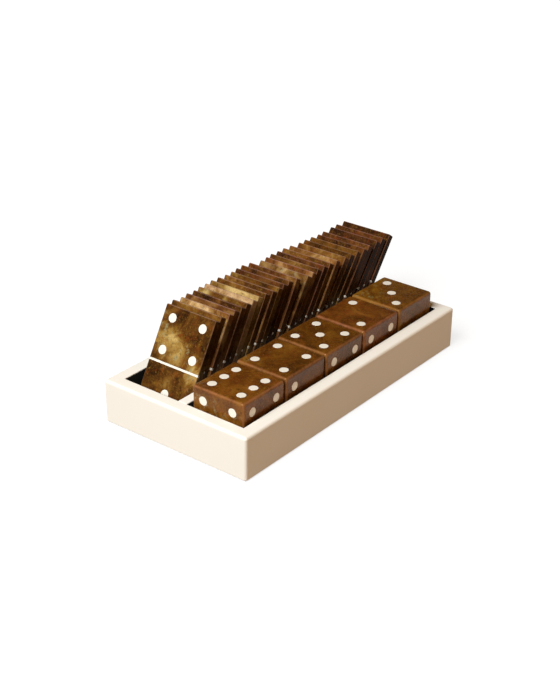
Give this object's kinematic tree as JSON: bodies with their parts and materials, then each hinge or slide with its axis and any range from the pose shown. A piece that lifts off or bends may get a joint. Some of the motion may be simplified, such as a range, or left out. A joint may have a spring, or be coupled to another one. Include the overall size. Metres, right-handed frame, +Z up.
{
  "type": "domino storage box",
  "caption": "Open two-bay tray in cream lacquer that stores a leaning row of horn dominoes beside a row of large horn dice.",
  "frame": {"origin": "centre of the tray's underside, on the surface that it stands on", "axes": "+Z up; +X along the tray, from the end that the front domino faces to the end that the row leans on; the domino bay is on the +Y side and the dice bay on the -Y side"},
  "size_m": [0.1484, 0.07, 0.0423],
  "materials": {
    "lacquer": "glossy cream lacquer over wood",
    "felt": "black felt",
    "horn": "polished mottled brown horn",
    "bone": "polished white bone inlay"
  },
  "bodies": {
    "tray": {"base_pad": "felt", "base_board": "lacquer", "front_wall": "lacquer", "end_wall": "lacquer", "dice_side_wall": "lacquer", "domino_side_wall": "lacquer", "divider": "lacquer", "dice_bay_floor_felt": "felt", "domino_bay_floor_felt": "felt", "dice_bay_lining": "felt", "domino_bay_lining": "felt"},
    "die_1_body": {"die_1": "horn", "die_1_pips": "bone"},
    "die_2_body": {"die_2": "horn", "die_2_pips": "bone"},
    "die_3_body": {"die_3": "horn", "die_3_pips": "bone"},
    "die_4_body": {"die_4": "horn", "die_4_pips": "bone"},
    "die_5_body": {"die_5": "horn", "die_5_pips": "bone"},
    "domino_01_body": {"domino_01": "horn"},
    "domino_02_body": {"domino_02": "horn"},
    "domino_03_body": {"domino_03": "horn"},
    "domino_04_body": {"domino_04": "horn"},
    "domino_05_body": {"domino_05": "horn"},
    "domino_06_body": {"domino_06": "horn"},
    "domino_07_body": {"domino_07": "horn"},
    "domino_08_body": {"domino_08": "horn"},
    "domino_09_body": {"domino_09": "horn"},
    "domino_10_body": {"domino_10": "horn"},
    "domino_11_body": {"domino_11": "horn"},
    "domino_12_body": {"domino_12": "horn"},
    "domino_13_body": {"domino_13": "horn"},
    "domino_14_body": {"domino_14": "horn"},
    "domino_15_body": {"domino_15": "horn"},
    "domino_16_body": {"domino_16": "horn"},
    "domino_17_body": {"domino_17": "horn"},
    "domino_18_body": {"domino_18": "horn"},
    "domino_19_body": {"domino_19": "horn"},
    "domino_20_body": {"domino_20": "horn"},
    "domino_21_body": {"domino_21": "horn"},
    "domino_22_body": {"domino_22": "horn"},
    "domino_23_body": {"domino_23": "horn"},
    "domino_24_body": {"domino_24": "horn"},
    "domino_25_body": {"domino_25": "horn"},
    "domino_26_body": {"domino_26": "horn"},
    "domino_27_body": {"domino_27": "horn"},
    "domino_28_body": {"domino_28": "horn"}
  },
  "joints": [
    {"name": "die_1_lift", "type": "slide", "parent": "tray", "child": "die_1_body", "axis": [0, 0, 1], "range_m": [0, 0.03]},
    {"name": "die_2_lift", "type": "slide", "parent": "tray", "child": "die_2_body", "axis": [0, 0, 1], "range_m": [0, 0.03]},
    {"name": "die_3_lift", "type": "slide", "parent": "tray", "child": "die_3_body", "axis": [0, 0, 1], "range_m": [0, 0.03]},
    {"name": "die_4_lift", "type": "slide", "parent": "tray", "child": "die_4_body", "axis": [0, 0, 1], "range_m": [0, 0.03]},
    {"name": "die_5_lift", "type": "slide", "parent": "tray", "child": "die_5_body", "axis": [0, 0, 1], "range_m": [0, 0.03]},
    {"name": "domino_01_lift", "type": "slide", "parent": "tray", "child": "domino_01_body", "axis": [0.4924, 0, 0.8704], "range_m": [0, 0.06]},
    {"name": "domino_02_lift", "type": "slide", "parent": "tray", "child": "domino_02_body", "axis": [0.4924, 0, 0.8704], "range_m": [0, 0.06]},
    {"name": "domino_03_lift", "type": "slide", "parent": "tray", "child": "domino_03_body", "axis": [0.4924, 0, 0.8704], "range_m": [0, 0.06]},
    {"name": "domino_04_lift", "type": "slide", "parent": "tray", "child": "domino_04_body", "axis": [0.4924, 0, 0.8704], "range_m": [0, 0.06]},
    {"name": "domino_05_lift", "type": "slide", "parent": "tray", "child": "domino_05_body", "axis": [0.4924, 0, 0.8704], "range_m": [0, 0.06]},
    {"name": "domino_06_lift", "type": "slide", "parent": "tray", "child": "domino_06_body", "axis": [0.4924, 0, 0.8704], "range_m": [0, 0.06]},
    {"name": "domino_07_lift", "type": "slide", "parent": "tray", "child": "domino_07_body", "axis": [0.4924, 0, 0.8704], "range_m": [0, 0.06]},
    {"name": "domino_08_lift", "type": "slide", "parent": "tray", "child": "domino_08_body", "axis": [0.4924, 0, 0.8704], "range_m": [0, 0.06]},
    {"name": "domino_09_lift", "type": "slide", "parent": "tray", "child": "domino_09_body", "axis": [0.4924, 0, 0.8704], "range_m": [0, 0.06]},
    {"name": "domino_10_lift", "type": "slide", "parent": "tray", "child": "domino_10_body", "axis": [0.4924, 0, 0.8704], "range_m": [0, 0.06]},
    {"name": "domino_11_lift", "type": "slide", "parent": "tray", "child": "domino_11_body", "axis": [0.4924, 0, 0.8704], "range_m": [0, 0.06]},
    {"name": "domino_12_lift", "type": "slide", "parent": "tray", "child": "domino_12_body", "axis": [0.4924, 0, 0.8704], "range_m": [0, 0.06]},
    {"name": "domino_13_lift", "type": "slide", "parent": "tray", "child": "domino_13_body", "axis": [0.4924, 0, 0.8704], "range_m": [0, 0.06]},
    {"name": "domino_14_lift", "type": "slide", "parent": "tray", "child": "domino_14_body", "axis": [0.4924, 0, 0.8704], "range_m": [0, 0.06]},
    {"name": "domino_15_lift", "type": "slide", "parent": "tray", "child": "domino_15_body", "axis": [0.5446, 0, 0.8387], "range_m": [0, 0.06]},
    {"name": "domino_16_lift", "type": "slide", "parent": "tray", "child": "domino_16_body", "axis": [0.5446, 0, 0.8387], "range_m": [0, 0.06]},
    {"name": "domino_17_lift", "type": "slide", "parent": "tray", "child": "domino_17_body", "axis": [0.5446, 0, 0.8387], "range_m": [0, 0.06]},
    {"name": "domino_18_lift", "type": "slide", "parent": "tray", "child": "domino_18_body", "axis": [0.5446, 0, 0.8387], "range_m": [0, 0.06]},
    {"name": "domino_19_lift", "type": "slide", "parent": "tray", "child": "domino_19_body", "axis": [0.5446, 0, 0.8387], "range_m": [0, 0.06]},
    {"name": "domino_20_lift", "type": "slide", "parent": "tray", "child": "domino_20_body", "axis": [0.5446, 0, 0.8387], "range_m": [0, 0.06]},
    {"name": "domino_21_lift", "type": "slide", "parent": "tray", "child": "domino_21_body", "axis": [0.5906, 0, 0.807], "range_m": [0, 0.06]},
    {"name": "domino_22_lift", "type": "slide", "parent": "tray", "child": "domino_22_body", "axis": [0.5906, 0, 0.807], "range_m": [0, 0.06]},
    {"name": "domino_23_lift", "type": "slide", "parent": "tray", "child": "domino_23_body", "axis": [0.5906, 0, 0.807], "range_m": [0, 0.06]},
    {"name": "domino_24_lift", "type": "slide", "parent": "tray", "child": "domino_24_body", "axis": [0.5906, 0, 0.807], "range_m": [0, 0.06]},
    {"name": "domino_25_lift", "type": "slide", "parent": "tray", "child": "domino_25_body", "axis": [0.5906, 0, 0.807], "range_m": [0, 0.06]},
    {"name": "domino_26_lift", "type": "slide", "parent": "tray", "child": "domino_26_body", "axis": [0.5906, 0, 0.807], "range_m": [0, 0.06]},
    {"name": "domino_27_lift", "type": "slide", "parent": "tray", "child": "domino_27_body", "axis": [0.5906, 0, 0.807], "range_m": [0, 0.06]},
    {"name": "domino_28_lift", "type": "slide", "parent": "tray", "child": "domino_28_body", "axis": [0.5906, 0, 0.807], "range_m": [0, 0.06]}
  ]
}
